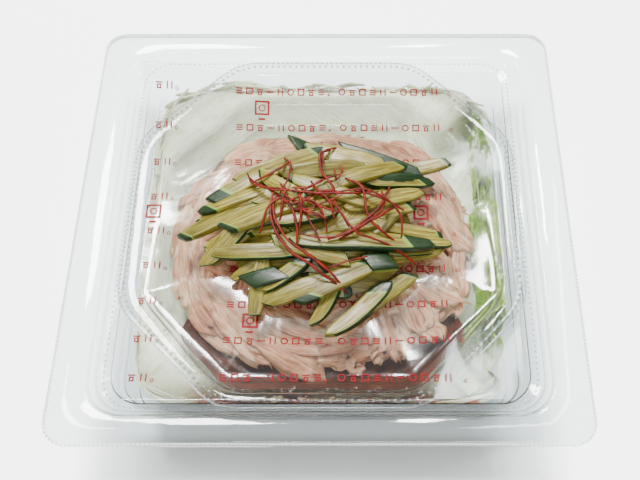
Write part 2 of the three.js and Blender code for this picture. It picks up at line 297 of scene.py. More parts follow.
class MaterialMaker:
    # wires one material; each method gives back its node's output

    def __init__(self, name):
        self.material = bpy.data.materials.new(name)
        self.material.use_nodes = True
        self.nodes = self.material.node_tree.nodes
        self.nodes.clear()

    def node(self, kind, output, sockets, **settings):
        # sockets gives each input a value, a colour or another node's output
        node = self.nodes.new(kind)
        for name, value in settings.items():
            setattr(node, name, value)
        for name, value in sockets.items():
            socket = node.inputs[name]
            if isinstance(value, bpy.types.NodeSocket):
                self.material.node_tree.links.new(value, socket)
            elif socket.type == "RGBA":
                socket.default_value = (*value, 1)
            else:
                socket.default_value = value
        return node.outputs[output] if output else None

    def place(self):
        return self.node("ShaderNodeTexCoord", "Object", {})

    def grain(self, scale):
        # the piece's own map, which runs along its fibres
        spot = self.node("ShaderNodeUVMap", "UV", {}, uv_map="grain")
        return self.node("ShaderNodeMapping", "Vector", {"Vector": spot, "Scale": scale})

    def attribute(self, name):
        return self.node("ShaderNodeAttribute", "Fac", {}, attribute_name=name)

    def facing(self, **sockets):
        return self.node("ShaderNodeLayerWeight", "Facing", {"Blend": 0.5, **sockets})

    def noise(self, vector, scale, detail=4.0, roughness=0.55, distortion=0.0):
        return self.node("ShaderNodeTexNoise", "Fac", {
            "Vector": vector, "Scale": scale, "Detail": detail, "Roughness": roughness,
            "Distortion": distortion,
        })

    def ramp(self, factor, *stops):
        colour = self.node("ShaderNodeValToRGB", "Color", {"Fac": factor})
        elements = colour.node.color_ramp.elements
        while len(elements) < len(stops):
            elements.new(0.5)
        for element, (place, shade) in zip(elements, stops):
            element.position = place
            element.color = (*shade, 1)
        return colour

    def mix(self, factor, first, second, blend="MIX"):
        sockets = {0: factor, 6: first, 7: second}
        return self.node("ShaderNodeMix", 2, sockets, data_type="RGBA", blend_type=blend)

    def shade(self, colour, factor, *stops):
        return self.mix(1.0, colour, self.ramp(factor, *stops), "MULTIPLY")

    def math(self, operation, first, second=0.5):
        return self.node("ShaderNodeMath", "Value", {0: first, 1: second}, operation=operation)

    def span(self, value, low, high, top=1.0):
        sockets = {"Value": value, "From Min": low, "From Max": high, "To Max": top}
        return self.node("ShaderNodeMapRange", "Result", sockets, interpolation_type="SMOOTHSTEP")

    def bump(self, height, strength, distance, *before):
        sockets = {"Height": height, "Strength": strength, "Distance": distance}
        return self.node("ShaderNodeBump", "Normal", {**sockets, **{"Normal": normal for normal in before}})

    def principled(self, colour, values, **normal):
        return self.node("ShaderNodeBsdfPrincipled", "BSDF", {"Base Color": colour, **values, **normal})

    def transparent(self, colour):
        return self.node("ShaderNodeBsdfTransparent", "BSDF", {"Color": colour})

    def blend(self, factor, first, second):
        return self.node("ShaderNodeMixShader", "Shader", {0: factor, 1: first, 2: second})

    def finish(self, surface):
        self.node("ShaderNodeOutputMaterial", None, {"Surface": surface})
        return self.material


plasticLook = {
    "baseTint": (0.74, 0.79, 0.80),
    "trayTint": (0.86, 0.885, 0.885),
    # colour of the sheet seen edge on, partly painted shade
    "edgePaintedShade": (0.25, 0.28, 0.29),
    "surface": {"Transmission Weight": 1, "Roughness": 0.04, "IOR": 1.42},
}


def makeClearPlastic(name, tint, waviness):
    look = MaterialMaker(name)
    normal = look.bump(look.noise(look.place(), 55, 2.0), waviness, 0.002)
    normal = look.bump(look.noise(look.place(), 900, 3.0), 0.04, 0.0002, normal)
    # the sheet's colour darkens where it is seen edge on, partly for its longer path through the tint and
    # partly as painted shade in place of dark reflections
    depth = look.ramp(look.facing(), (0.55, tint), (0.97, plasticLook["edgePaintedShade"]))
    clear = look.principled(depth, plasticLook["surface"], Normal=normal)
    through = look.transparent(tuple(mix(1, part, 0.5) for part in tint))
    shadow = look.node("ShaderNodeLightPath", "Is Shadow Ray", {})
    return look.finish(look.blend(shadow, clear, through))


baseClear = makeClearPlastic("clear_box_plastic", plasticLook["baseTint"], 0.10)
trayClear = makeClearPlastic("clear_tray_plastic", plasticLook["trayTint"], 0.08)


baseShape = {
    "profile": [
        (90, 41), (89.8, 43.2), (89, 44), (77.7, 44), (76.8, 43.1), (76.2, 41.6), (74.8, 41.2),
        (74.2, 39.8), (70.4, 39.6), (69.5, 30.0), (68.3, 29.4), (67.3, 17.0), (66.1, 16.4),
        (64.9, 3.0), (63.0, 0.6), (62.4, 0.5), (58.0, 0.5), (57.4, 0.6), (56.4, 1.4),
    ],
    "fold": 0.35,
    # ribs on the lip and dots on the ledge: half width, height, pitch, size
    "ribs": [(89.85, 42.1, 1.5, (0.3, 0.3, 1.2)), (72.9, 39.75, 2.0, (0.6, 0.5, 0.3))],
}


def addRibs(bm, outline, height, pitch, size):
    # a row of small upright ribs or dots along an outline
    points = outline + outline[:1]
    left = 0.0
    for start, finish in zip(points, points[1:]):
        length = (finish - start).length
        along = left
        while along < length:
            place = start.lerp(finish, along / length)
            turn = math.atan2(finish.y - start.y, finish.x - start.x)
            seat = Matrix.Translation((place.x, place.y, height)) @ Matrix.Rotation(turn, 4, "Z")
            bmesh.ops.create_cube(bm, size=1, matrix=seat @ Matrix.Diagonal((*size, 1)))
            along += pitch
        left = along - length


def makeShell(bm, rings, wall):
    first, last = loftRings(bm, rings)
    bmesh.ops.contextual_create(bm, geom=last)
    bmesh.ops.recalc_face_normals(bm, faces=bm.faces)
    # the open shell's outer face points away from its middle
    bmesh.ops.solidify(bm, geom=bm.faces[:], thickness=wall)


def buildBase():
    bm = bmesh.new()
    rings = []
    for half, z in softenProfile(baseShape["profile"], baseShape["fold"]):
        rings.append([Vector((point.x, point.y, z)) for point in boxOutline(half)])
    makeShell(bm, rings, boxSize["wall"])
    for half, *row in baseShape["ribs"]:
        addRibs(bm, boxOutline(half), *row)
    makePiece("clear_base", bm, [baseClear], ["base_container"])


trayShape = {
    "profile": [
        (72.4, 39.9), (72.3, 40.5), (71.8, 40.8), (64.4, 40.8), (63.6, 40.0), (63.1, 35.4), (61.9, 34.8),
        (61.0, 28.3), (59.8, 27.7), (57.5, 19.5), (55.7, 18.0),
    ],
    "fold": 0.3,
    "rim": 40.8,
    # dots and beads on the rim: half width, height, pitch, size
    "ribs": [(71.6, 40.75, 1.8, (0.6, 0.5, 0.3)), (69.8, 40.75, 2.4, (0.9, 0.9, 0.35))],
    "markX": 66.9,
    "markRows": [14.5, 0.0, -14.5],
    "markRadius": 2.1,
}


def addTriangleMark(bm, x, y):
    turn = Matrix.Translation((x, y, trayShape["rim"])) @ Matrix.Rotation(math.radians(90), 4, "Z")
    radius = trayShape["markRadius"]
    made = bmesh.ops.create_circle(bm, cap_ends=True, segments=3, radius=radius, matrix=turn)
    face = made["verts"][0].link_faces[0]
    edging = bmesh.ops.inset_region(bm, faces=[face], thickness=0.42)["faces"]
    bmesh.ops.delete(bm, geom=[face], context="FACES")
    raised = bmesh.ops.extrude_face_region(bm, geom=edging)["geom"]
    verts = [item for item in raised if isinstance(item, bmesh.types.BMVert)]
    bmesh.ops.translate(bm, verts=verts, vec=(0, 0, 0.45))


def buildTray():
    bm = bmesh.new()
    rings = []
    for half, z in softenProfile(trayShape["profile"], trayShape["fold"]):
        if half > 65:
            rings.append([Vector((point.x, point.y, z)) for point in trayOutline(half)])
        else:
            rings.append([nearSlope(point, z) for point in trayOutline(half)])
    makeShell(bm, rings, traySize["wall"])
    for half, *row in trayShape["ribs"]:
        addRibs(bm, trayOutline(half), *row)
    for y in trayShape["markRows"]:
        addTriangleMark(bm, trayShape["markX"], y)
    makePiece("clear_tray", bm, [trayClear], ["inner_tray"])


buildBase()
buildTray()


filmLook = {
    "clear": (0.965, 0.972, 0.975),
    "reflection": (0.86, 0.88, 0.89),
    "surface": {"Roughness": 0.11, "Metallic": 0.85},
    "shine": [(0.0, 0.036), (0.35, 0.045), (0.65, 0.11), (0.95, 0.55)],     # from head on to edge on
    "print": (0.24, 0.002, 0.009),
    "ripple": 0.30,
    "detail": (110, 104),
    "rowPitch": 14.0,
    "firstRow": 50.0,
    "rows": 9,
    "markPitch": 3.96,
    "mark": 3.0,
    # the kinds of sign along a row, where -1 is a dot
    "order": [1, 0, 4, 5, 3, 2, 0, 4, 1, -1, 2, 4, 0, 1, 3, 5, 2, 0, 4, 3],
    "start": -32.6,
    "edgeStart": -59.0,     # the short end of a row, at the film's left edge
    "stamps": [(0.5, -24), (3.5, 36), (6.5, -25), (3.5, -62.5)],    # row and x of the square stamps
    "seed": 21,
    "stroke": 0.5,
    "lift": 0.16,
}


def filmSurface(x, y):
    # the film's own small wrinkles over its main shape
    fold = wander(x / 19, y / 30, 3.1) + 0.22 * wander(x / 8, y / 14, 8.4)
    return filmHeight(x, y) + filmLook["ripple"] * fold


def filmLeftEdge(y):
    share = (y - filmSize["near"]) / (filmSize["far"] - filmSize["near"])
    return filmSize["left"] + 3.5 * math.sin(math.pi * share)


def makeFilmMaterial():
    look = MaterialMaker("clear_film")
    normal = look.bump(look.noise(look.place(), 42, 3.0, 0.5, 0.6), 0.10, 0.004)
    gloss = look.principled(filmLook["reflection"], filmLook["surface"], Normal=normal)
    stops = [(place, (share,) * 3) for place, share in filmLook["shine"]]
    shine = look.ramp(look.facing(Normal=normal), *stops)
    return look.finish(look.blend(shine, look.transparent(filmLook["clear"]), gloss))


def makePrintMaterial():
    look = MaterialMaker("red_print")
    darker = tuple(part * 0.8 for part in filmLook["print"])
    ink = look.ramp(look.noise(look.place(), 700, 3.0), (0.3, darker), (0.7, filmLook["print"]))
    return look.finish(look.principled(ink, {"Roughness": 0.6, "Specular IOR Level": 0.15}))


def buildFilm():
    bm = bmesh.new()
    across, along = filmLook["detail"]
    bmesh.ops.create_grid(bm, x_segments=across, y_segments=along, size=1)
    for vert in bm.verts:
        y = mix(filmSize["near"], filmSize["far"], (vert.co.y + 1) / 2)
        x = mix(filmLeftEdge(y), filmSize["right"], (vert.co.x + 1) / 2)
        vert.co = (x, y, filmSurface(x, y))
    bmesh.ops.solidify(bm, geom=bm.faces[:], thickness=filmSize["thick"])
    return makePiece("film", bm, [makeFilmMaterial()], ["film_sheet"])


def printStroke(bm, x, y, length, width, angle):
    # one flat bar of ink that follows the film, in steps short enough to bend with it
    steps = max(1, round(length / 1.6))
    seat = Matrix.Translation((x, y, 0)) @ Matrix.Rotation(angle, 4, "Z")
    size = Matrix.Diagonal((length / 2, width / 2, 1, 1))
    made = bmesh.ops.create_grid(bm, x_segments=steps, y_segments=1, size=1, matrix=seat @ size)
    for vert in made["verts"]:
        vert.co.z = filmSurface(vert.co.x, vert.co.y) + filmLook["lift"]


def printFrame(bm, x, y, size, width):
    # a plain square outline
    half = size / 2
    for side in range(4):
        angle = side * math.pi / 2
        middle = (x + half * math.sin(angle), y + half * math.cos(angle))
        printStroke(bm, *middle, size + width * 0.8, width, -angle)


def printRing(bm, x, y, radius, width):
    sides = 10
    for side in range(sides):
        angle = math.tau * side / sides
        length = math.tau * radius / sides * 1.08
        printStroke(bm, x + radius * math.cos(angle), y + radius * math.sin(angle), length, width,
                    angle + math.pi / 2)


def printMark(bm, x, y, kind):
    # plain signs only: bars, squares, rings and dots
    size = filmLook["mark"]
    width = filmLook["stroke"]
    if kind == 0:
        printFrame(bm, x, y, size * 0.72, width)
    elif kind == 1:
        for shift in (-0.3, 0.0, 0.3):
            printStroke(bm, x, y + shift * size, size * 0.8, width, 0)
    elif kind == 2:
        printRing(bm, x, y, size * 0.36, width)
    elif kind == 3:
        for shift in (-0.28, 0.28):
            printStroke(bm, x + shift * size, y, size * 0.9, width, math.pi / 2)
    elif kind == 4:
        printStroke(bm, x, y + size * 0.25, size * 0.85, width, 0)
        printFrame(bm, x, y - size * 0.2, size * 0.4, width)
    else:
        printStroke(bm, x, y, size * 0.95, width, 0)


def buildPrint():
    draw = random.Random(filmLook["seed"])
    bm = bmesh.new()
    order = filmLook["order"]
    for row in range(filmLook["rows"]):
        y = filmLook["firstRow"] - row * filmLook["rowPitch"]
        shift = draw.uniform(-0.5, 0.5)
        for index, kind in enumerate(order):
            x = filmLook["start"] + shift + index * filmLook["markPitch"]
            if kind < 0:
                printStroke(bm, x - 1.2, y - 1.1, 0.9, 0.7, 0.6)
            else:
                printMark(bm, x, y, kind)
        printRing(bm, -31 + shift + len(order) * filmLook["markPitch"], y - 1, 0.55, 0.3)
        for index in range(3):
            x = filmLook["edgeStart"] - index * filmLook["markPitch"]
            if x - 2 > filmLeftEdge(y):
                printMark(bm, x, y, order[len(order) - 1 - index])
        printRing(bm, -56.2, y - 1, 0.55, 0.3)
    for row, x in filmLook["stamps"]:
        y = filmLook["firstRow"] - row * filmLook["rowPitch"]
        printFrame(bm, x, y + 0.8, 4.9, 0.75)
        printRing(bm, x, y + 0.8, 1.15, 0.5)
        printStroke(bm, x, y - 3.6, 2.6, 0.8, 0)
    bmesh.ops.solidify(bm, geom=bm.faces[:], thickness=0.04)
    return makePiece("film_print", bm, [makePrintMaterial()], smooth=False)


film = buildFilm()
filmPrint = buildPrint()
print("plastics and film made")


sauceLook = {
    "deep": (0.038, 0.012, 0.006),
    "thin": (0.098, 0.031, 0.013),
    "surface": {"Roughness": 0.24, "Specular IOR Level": 0.1, **soft(0.12, 0.004, 0.001, 0.0005)},
    "farEdge": 38.0,
    "wall": [18.35, 19.4, 21.2, 23.2, 24.3],                    # heights of the rings from floor to lip
    "climb": [26.0, 27.7, 28.3, 31.5, 34.8, 35.4, 38.6],        # heights of the coat on the near wall
    "brim": [(0.985, 0.15), (0.97, 0.03), (0.95, 0), (0.9, 0), (0.84, 0), (0.77, 0)],
}


def makeSauceMaterial():
    look = MaterialMaker("brown_sauce")
    cloud = look.noise(look.place(), 70, 5.0, 0.6, 0.4)
    colour = look.ramp(cloud, (0.35, sauceLook["deep"]), (0.68, sauceLook["thin"]))
    normal = look.bump(cloud, 0.25, 0.0015)
    normal = look.bump(look.noise(look.place(), 520, 2.0), 0.12, 0.0004, normal)
    return look.finish(look.principled(colour, sauceLook["surface"], Normal=normal))


def trayHalfAt(height):
    # half width of the tray's outer face at a height
    rows = trayShape["profile"]
    for upper, lower in zip(rows, rows[1:]):
        if lower[1] <= height <= upper[1] and upper[1] > lower[1]:
            return mix(lower[0], upper[0], (height - lower[1]) / (upper[1] - lower[1]))
    return rows[-1][0]


def sauceCling(point):
    # how far the sauce has run up the near wall at a place
    run = 0.86 + 0.14 * wander(point.x / 6, point.y / 6, 4.4)
    return smoothStep(-point.y, 26, 48) * run


def buildSauce():
    bm = bmesh.new()
    rings = []
    reach = traySize["wall"] - 0.15
    top = traySize["sauceTop"]
    lip = sauceLook["wall"][-1]
    for height in sauceLook["wall"]:
        half = trayHalfAt(height) - reach
        rings.append([nearSlope(point, height) for point in trayOutline(half)])
    # a thin coat of sauce clings to the near wall, out and back in again
    climb = sauceLook["climb"]
    for inset, heights in ((0.0, climb), (0.45, climb[::-1])):
        for height in heights:
            ring = []
            outer = trayOutline(trayHalfAt(height) - reach - inset)
            for point, low in zip(outer, trayOutline(trayHalfAt(lip) - reach - inset)):
                share = sauceCling(point)
                ring.append(nearSlope(low.lerp(point, share), mix(lip, height, share)))
            rings.append(ring)
    brim = [nearSlope(point, top) for point in trayOutline(trayHalfAt(top) - reach)]
    for share, rise in sauceLook["brim"]:
        rings.append([Vector((point.x * share, point.y * share, top + rise)) for point in brim])
    capRings(bm, *loftRings(bm, rings))
    for vert in bm.verts:
        limit = sauceLook["farEdge"] + 2.5 * math.cos(vert.co.x / 14)
        if vert.co.y > limit:
            vert.co.y = limit + 0.02 * (vert.co.y - limit)
            vert.co.z = min(vert.co.z, 23.2)
        # away from the near side the sauce stays below the chicken
        spread = chickenShare(vert.co.x, vert.co.y)
        if vert.co.y > -46 and spread > 0.95:
            vert.co.x *= mix(1, 0.95 / spread, smoothStep(vert.co.y, -46, -32))
            if vert.co.y > -36:
                vert.co.z = min(vert.co.z, 23.4)
        if top - 0.1 < vert.co.z < top + 0.1:
            vert.co.z += 0.25 * noise.noise(vert.co / 6)
    bmesh.ops.recalc_face_normals(bm, faces=bm.faces)
    makePiece("sauce", bm, [makeSauceMaterial()], ["sauce_layer"])


buildSauce()


def makeStripTemplate(rings, sides):
    # a closed bar from x = 0 to 1 with a round section of radius 1 and a map along and around it
    part = bmesh.new()
    turns = [math.tau * side / sides for side in range(sides)]
    places = [[Vector((ring / (rings - 1), math.cos(turn), math.sin(turn))) for turn in turns]
              for ring in range(rings)]
    capRings(part, *loftRings(part, places))
    addLayers(part, "tone")

    def spot(loop):
        middle = loop.face.calc_center_median()
        middleTurn = math.atan2(middle.z, middle.y) / math.tau
        turn = math.atan2(loop.vert.co.z, loop.vert.co.y) / math.tau
        if turn - middleTurn > 0.5:
            turn -= 1
        if middleTurn - turn > 0.5:
            turn += 1
        return loop.vert.co.x, turn

    mapGrain(part, spot)
    return part


def sweepStrip(part, path, section, tone, mapSize):
    # lays a template strip along a path; section gives the offset along, across and up at (along, angle)
    grain = part.loops.layers.uv["grain"]
    toneLayer = part.verts.layers.float["tone"]
    for vert in part.verts:
        along = vert.co.x
        lengthwise, side, rise = section(along, math.atan2(vert.co.z, vert.co.y))
        place, forward, across, upward = pathFrame(path, along)
        vert.co = place + forward * lengthwise + across * side + upward * rise
        vert[toneLayer] = tone
    shift = (tone * 7.3) % 1 * Vector((40, 23))
    mapGrain(part, lambda loop: loop[grain].uv * Vector(mapSize) + shift)


def pathFrame(path, along):
    # the place on a path, and the directions along, across and up there
    forward = (path(along + 0.02) - path(along - 0.02)).normalized()
    across = forward.cross(Vector((0, 0, 1))).normalized()
    return path(along), forward, across, across.cross(forward)


def curvePath(points):
    # a smooth path through a few points, from 0 to 1
    points = [Vector(point) for point in points]
    points = [points[0] * 2 - points[1]] + points + [points[-1] * 2 - points[-2]]

    def place(along):
        reach = len(points) - 3
        step = min(max(along, 0.0), 1.0) * reach
        index = min(int(step), reach - 1)
        share = step - index
        a, b, c, d = points[index:index + 4]
        smooth = 0.5 * (2 * b + (c - a) * share + (2 * a - 5 * b + 4 * c - d) * share ** 2
                        + (3 * b - a - 3 * c + d) * share ** 3)
        over = along - min(max(along, 0.0), 1.0)
        return smooth + (c - b) * over * reach
    return place


chickenLook = {
    "light": (0.88, 0.56, 0.36),
    "middle": (0.58, 0.25, 0.10),
    "dark": (0.20, 0.055, 0.018),
    "surface": {"Roughness": 0.5, "Specular IOR Level": 0.45, **soft(0.25, 0.0032, 0.0013, 0.0008)},
    "seed": 4,
    "shreds": 240,
    "strands": 110,
    "reach": (0.84, 1.0),
    "coreDetail": (110, 64),
    # rings along and points around a piece
    "shredDetail": (10, 10),
    "chunkDetail": (26, 22),
    "strandDetail": (9, 5),
    # spans of length, width, thickness, lift over the core and gap under the film
    "shredSpans": [(11, 26), (3, 8), (2.0, 4.0), (-0.4, 2.2), (0.5, 3.5)],
    "strandSpans": [(8, 20), (0.8, 2.0), (0.7, 1.5), (1.5, 3.4)],
    # spans of turn, share of the length, width, thickness, lift and gap of a bundle on a torn piece
    "bundleSpans": [(-7, 7), (0.55, 0.95), (3.4, 7.5), (1.8, 3.2), (-0.5, 0.4), (0, 0.9)],
}

# big torn pieces: middle x and y, direction in degrees, length, width, thickness, lift over the core
chickenChunks = [
    (-17, -45, -32, 42, 15, 7, 1.5), (-8, -38, -20, 36, 12, 6, 2.5), (-30, -40, -50, 30, 12, 6, 1.5),
    (5, -44, 12, 28, 12, 6, 1), (21, -42, -80, 30, 10, 6, 2.5), (35, -36, -58, 32, 14, 6, 2.5),
    (29, -46, -75, 20, 9, 5, 1), (42, -26, -40, 30, 13, 6, 2), (47, 2, -58, 28, 14, 6, 3),
    (49, -16, -85, 24, 12, 5, 1.5), (44, 18, -60, 26, 12, 5, 2), (-47, -14, 85, 32, 13, 5, 1.5),
    (-50, 4, 70, 26, 12, 5, 1), (-45, -30, 110, 26, 12, 5, 1.5), (-44, 20, 50, 28, 12, 5, 1.5),
    (-30, 34, 25, 30, 12, 5, 1.5), (-8, 38, 5, 34, 12, 5, 1.5), (14, 38, -10, 30, 11, 5, 1.5),
    (33, 32, -35, 30, 12, 5, 1.5), (-12, 28, 30, 28, 10, 5, 2.5), (22, 26, -15, 28, 11, 5, 2),
    (10, -50, -62, 16, 4, 3.5, 1.5), (3, -36, 20, 24, 8, 4, 3), (-24, -28, 75, 26, 9, 4, 2.5),
    (30, -24, 20, 30, 12, 5, 2), (38, 6, 40, 26, 10, 4, 2.5), (-40, 2, 20, 24, 10, 4, 2.5),
    (-52, -8, 95, 26, 9, 6, 1), (-50, -24, 120, 22, 9, 5, 0.5), (-51, 14, 75, 20, 9, 5, 1),
    (53, 8, -80, 20, 8, 5, 1), (51, -28, -60, 18, 8, 5, 0.5), (-38, -42, -40, 22, 8, 5, 0.5),
]


def makeChickenMaterial():
    look = MaterialMaker("cooked_chicken")
    fibre = look.noise(look.grain((0.10, 1.3, 1)), 1.0, 5.0, 0.65, 0.3)
    fine = look.noise(look.grain((0.35, 4.2, 1)), 1.0, 3.0, 0.6)
    colour = look.ramp(fibre, (0.24, chickenLook["dark"]), (0.39, chickenLook["middle"]),
                       (0.57, chickenLook["light"]))
    cloud = look.noise(look.place(), 80, 4.0)
    colour = look.shade(colour, cloud, (0.36, (0.66, 0.50, 0.42)), (0.56, (1, 1, 1)))
    colour = look.shade(colour, look.attribute("tone"), (0.0, (0.72, 0.60, 0.52)), (0.8, (1, 1, 1)))
    normal = look.bump(fine, 0.5, 0.0004, look.bump(fibre, 0.65, 0.0011))
    return look.finish(look.principled(colour, chickenLook["surface"], Normal=normal))


def chickenCoreTop(x, y):
    share = min(chickenShare(x, y) / chickenSize["core"], 1.0)
    full = chickenTop(x, y)
    core = chickenSize["floor"] - 0.5 + (full - chickenSize["floor"] - 5.5) * (1 - share ** 3) ** 0.6
    lump = wander(x / 11, y / 9, 2.7) + 0.6 * wander(x / 4, y / 5, 9.2)
    return max(core + 2.2 * lump * (1 - share), chickenSize["floor"] - 3)


def addChickenCore(bm):
    def place(share, angle, isTop):
        power = chickenSize["square"]
        across = abs(math.cos(angle)) ** power * math.copysign(1, math.cos(angle))
        along = abs(math.sin(angle)) ** power * math.copysign(1, math.sin(angle))
        x = across * share * chickenSize["radiusX"] * chickenSize["core"]
        y = along * share * chickenSize["radiusY"] * chickenSize["core"] + chickenSize["y"]
        return x, y, chickenCoreTop(x, y) if isTop else chickenSize["floor"] - 3 - 2 * (1 - share)

    def spot(loop):
        x, y, _ = loop.vert.co
        return x + 0.4 * y, y - 0.2 * x

    addBlob(bm, chickenLook["coreDetail"], place, spot, 0.25)


def addChickenStrip(bm, template, draw, x, y, angle, length, width, thick, lift, ragged, gap=0.0):
    # one strip lying on the core, with torn ends, at least the gap below the film
    part = template.copy()
    reach = draw.uniform(*chickenLook["reach"])
    turn = math.radians(angle)
    direction = polar(turn, 1, 0)
    aside = Vector((-direction.y, direction.x, 0))
    bend = draw.uniform(-0.16, 0.16) * length
    points = []
    for share in (-0.5, -0.2, 0.12, 0.5):
        spot = Vector((x, y, 0)) + direction * (share * length) + aside * (bend * (share * share * 4 - 0.5))
        beyond = max(chickenShare(spot.x, spot.y) / reach, 1)
        spot.x /= beyond
        spot.y = (spot.y - chickenSize["y"]) / beyond + chickenSize["y"]
        ground = max(chickenCoreTop(spot.x, spot.y), chickenSize["floor"] + 0.3)
        roof = filmHeight(spot.x, spot.y) - thick * 0.5 - 0.9 - gap
        spot.z = min(ground + lift + thick * 0.32 + draw.uniform(-0.5, 0.5), roof)
        points.append(spot)
    path = curvePath(points)
    seed = draw.uniform(0, 900)
    slant = draw.uniform(-0.5, 0.5)

    def section(along, around):
        ridge = noise.noise(polar(around, 2.1, seed))
        ridge += 0.5 * noise.noise(polar(around, 5.3, seed + 5 + along))
        lump = wander(along * length / 7, seed, math.cos(around))
        ends = min(along, 1 - along) * 2
        body = (1 - (1 - ends) ** 7) ** 0.5 if ends > 0 else 0.0
        radius = max(0.45, body) * (1 + 0.42 * ridge + 0.26 * lump)
        tear = ragged * 1.4 * noise.noise(polar(around, 3.7, seed + along * 0.5 + 11))
        lengthwise = tear * (abs(along - 0.5) * 2) ** 3 * math.copysign(1, along - 0.5)
        side = math.cos(around) * width / 2 * radius
        rise = math.sin(around) * thick / 2 * radius
        return lengthwise + side * slant, side, rise

    sweepStrip(part, path, section, draw.uniform(0.1, 1.0), (length, math.pi * (width + thick) / 2))
    joinPart(bm, part)


def addChickenChunk(bm, chunk, shred, draw, x, y, angle, length, width, thick, lift):
    # a torn piece is a body with bundles of fibres lying along it, each ending where it tore
    gap = draw.uniform(0, 3.0)
    body = (length * 0.9, width * 0.86, thick * 0.8)
    addChickenStrip(bm, chunk, draw, x, y, angle, *body, lift, 6.0, gap + 1.3)
    turn = math.radians(angle)
    count = max(2, round(width / 3.3))
    for index in range(count):
        aside = ((index + 0.5) / count - 0.5) * width * 0.95
        crown = 1 - (2 * aside / width) ** 2
        slide = draw.uniform(-0.14, 0.14) * length
        swing, share, wide, thin, rise, under = drawEach(draw, chickenLook["bundleSpans"])
        addChickenStrip(
            bm, shred, draw,
            x + slide * math.cos(turn) - aside * math.sin(turn),
            y + slide * math.sin(turn) + aside * math.cos(turn),
            angle + swing, length * share, wide, thin, lift + thick * 0.42 * crown + rise, 5.0,
            gap + 1.8 * (1 - crown) + under,
        )


def randomChickenSpot(draw, reach):
    while True:
        x = draw.uniform(-1, 1) * chickenSize["radiusX"]
        y = draw.uniform(-1, 1) * chickenSize["radiusY"] + chickenSize["y"]
        if chickenShare(x, y) < reach:
            return x, y


def buildChicken():
    draw = random.Random(chickenLook["seed"])
    bm = bmesh.new()
    addChickenCore(bm)
    shred = makeStripTemplate(*chickenLook["shredDetail"])
    for _ in range(chickenLook["shreds"]):
        x, y = randomChickenSpot(draw, 0.93)
        angle = draw.uniform(0, 180)
        *size, gap = drawEach(draw, chickenLook["shredSpans"])
        addChickenStrip(bm, shred, draw, x, y, angle, *size, 4.5, gap)
    chunk = makeStripTemplate(*chickenLook["chunkDetail"])
    for piece in chickenChunks:
        addChickenChunk(bm, chunk, shred, draw, *piece)
    strand = makeStripTemplate(*chickenLook["strandDetail"])
    for _ in range(chickenLook["strands"]):
        x, y = randomChickenSpot(draw, 0.95)
        angle = draw.gauss(-30, 55)
        addChickenStrip(bm, strand, draw, x, y, angle, *drawEach(draw, chickenLook["strandSpans"]), 1.5)
    for template in (shred, chunk, strand):
        template.free()
    makePiece("chicken_shreds", bm, [makeChickenMaterial()], ["chicken"])


buildChicken()
print("chicken made")


cucumberLook = {
    "flesh": (0.235, 0.185, 0.024),
    "fleshLight": (0.45, 0.385, 0.09),
    "fleshCore": (0.13, 0.083, 0.009),
    "skin": (0.006, 0.020, 0.005),
    "skinLight": (0.013, 0.036, 0.006),
    "band": (0.22, 0.34, 0.06),
    "surface": {
        "Roughness": 0.34, "Specular IOR Level": 0.35, "Coat Weight": 0.08, "Coat Roughness": 0.15,
        **soft(0.22, 0.0016, 0.0018, 0.0006),
    },
    "seed": 9,
    "follow": 0.62,     # how far a stick's ends follow the heap
    "extra": 34,
    "extraSpans": [(20, 34), (4, 6.5), (2.6, 3.4), (-3.4, -1.6)],   # length, width, thickness, lift
}

# the sticks on top: middle x and y, direction, length, width, thickness, height over the film's heap,
# which side has skin (0 none, 1 one side, -1 the other, 2 the top), slant of the cut ends in degrees
cucumberSticks = [
    (-36, -3, 25, 36, 6.5, 3.2, -1, 0, 35), (-33, 3, 17, 27, 5.5, 3, 0, 0, 40),
    (-25, 12, 28, 40, 6, 3, 0.5, 0, 30), (-14, 18, 22, 42, 7, 3, 1, 0, 35),
    (-4, 27, -12, 17, 6, 2.5, 1, 2, 45), (8, 22, -14, 34, 7.5, 3.5, 1.5, 1, 40),
    (22, 20, -20, 34, 5.5, 3.2, 2.4, 2, 50), (33, 20, 5, 30, 5.5, 3, 0, 0, 35),
    (12, 10, 25, 42, 6, 3.4, 2, 0, 40), (27, 11, 9, 28, 5, 3.2, 1, 1, 50),
    (-33, -11, 50, 28, 7, 3.2, 0.5, 1, 45), (-20, -4, 20, 34, 8, 3.4, 1, 0, 40),
    (-6, -7, 12, 24, 4.5, 3.4, 1.5, 1, 45), (-24, -17, -2, 38, 6, 3.2, 0.5, 1, 30),
    (14, -15, 2, 54, 6.5, 3.6, 1.5, 1, 35), (34, -12, 3, 26, 4.5, 2.8, 0, 1, 30),
    (-22, -29, 82, 22, 6, 3, 0.5, 0, 10), (-13, -26, 35, 20, 5.5, 3, 0.5, 1, 40),
    (-8, -31, 20, 28, 6.5, 3.4, 0.5, 0, 50), (4, -29, 26, 32, 7, 3.2, 1, 0, 45),
    (13, -37, 44, 30, 6.5, 3.2, 1, 1, 45), (23, -31, 38, 24, 6, 3, 0.5, 0, 40),
    (20, -22, 8, 10, 6.5, 4.2, 1.5, 2, 25), (-20, -27, 12, 14, 6.5, 3.4, 1.2, 2, 40),
    (1, -36, 62, 16, 5, 3, 0.8, 1, 50),
    (29, 12, 10, 20, 4, 3, 2, 2, 55), (2, 4, -20, 34, 5.5, 3.2, 1, 0, 35),
    (-14, 6, -35, 24, 6, 3, 1.5, 1, 40), (22, 2, 20, 32, 5.5, 3.2, 0.5, 0, 35),
    (0, 14, 8, 34, 6, 3.2, 1, 0, 35), (-4, -18, -15, 30, 6, 3.2, 0, 0, 35),
]


